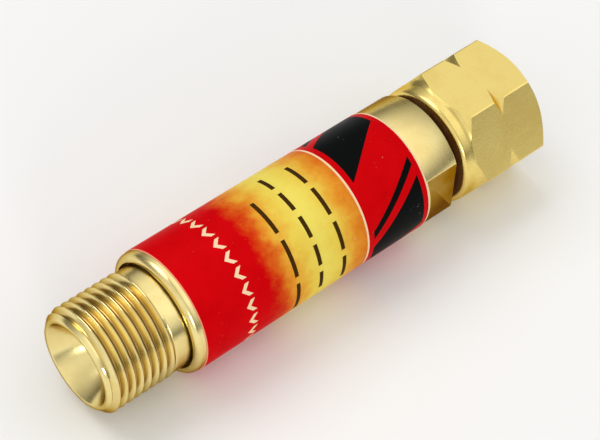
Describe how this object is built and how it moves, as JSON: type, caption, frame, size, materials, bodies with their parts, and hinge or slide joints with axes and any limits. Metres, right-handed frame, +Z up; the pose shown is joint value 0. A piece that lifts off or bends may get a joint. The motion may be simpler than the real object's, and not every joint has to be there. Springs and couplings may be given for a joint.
{
  "type": "flame arrestor",
  "caption": "Slim brass flashback arrestor with a male threaded outlet, a printed wrap label, wrench flats and a swivelling hexagon union nut with notched corners at its inlet.",
  "frame": {"origin": "centre of the inlet thread's mouth, on the axis of the part, just inside the union nut", "axes": "+X along the gas flow, from the inlet nut to the outlet; +Z up as the part lies on its side; wrench flats face about +Y and -Y, turned by 3 degrees"},
  "size_m": [0.0818, 0.022, 0.0194],
  "materials": {
    "barrel_brass": "turned, bright",
    "turned_brass": "turned and threaded, bright",
    "nut_brass": "milled hexagon, satin",
    "inner_brass": "turned, plain",
    "label_film": "glossy printed film",
    "seal_rubber": "smooth",
    "washer_copper": "soft copper",
    "spring_steel": "drawn wire",
    "gauze": "woven wire",
    "sintered_steel": "porous, matt",
    "solder": "dull solder",
    "gasket_fibre": "smooth"
  },
  "bodies": {
    "body": {"barrel": "barrel_brass", "label": "label_film", "outlet_connector": "turned_brass", "connector_o_ring": "seal_rubber", "inlet_stem": "turned_brass", "stem_washer": "washer_copper", "inlet_filter": "gauze", "filter_ring": "spring_steel", "valve_housing": "inner_brass", "housing_o_ring": "seal_rubber", "valve_spring": "spring_steel", "spring_cap": "inner_brass", "spacer_ring": "inner_brass", "cutoff_guide": "inner_brass", "cutoff_plunger": "inner_brass", "cutoff_seal": "seal_rubber", "cutoff_spring": "spring_steel", "fusible_ring": "solder", "flame_element": "sintered_steel", "element_gasket": "gasket_fibre", "clamp_sleeve": "inner_brass"},
    "nut": {"union_nut": "nut_brass"},
    "poppet": {"valve_poppet": "inner_brass", "poppet_o_ring": "seal_rubber"}
  },
  "joints": [
    {"name": "nut_swivel", "type": "hinge", "parent": "body", "child": "nut", "pos_m": [0.004, 0, 0], "axis": [1, 0, 0], "continuous": true},
    {"name": "poppet_slide", "type": "slide", "parent": "body", "child": "poppet", "axis": [1, 0, 0], "range_m": [0, 0.0018], "stiffness_N_per_m": 250, "springref_m": -0.002, "deforming": ["valve_spring"]}
  ]
}
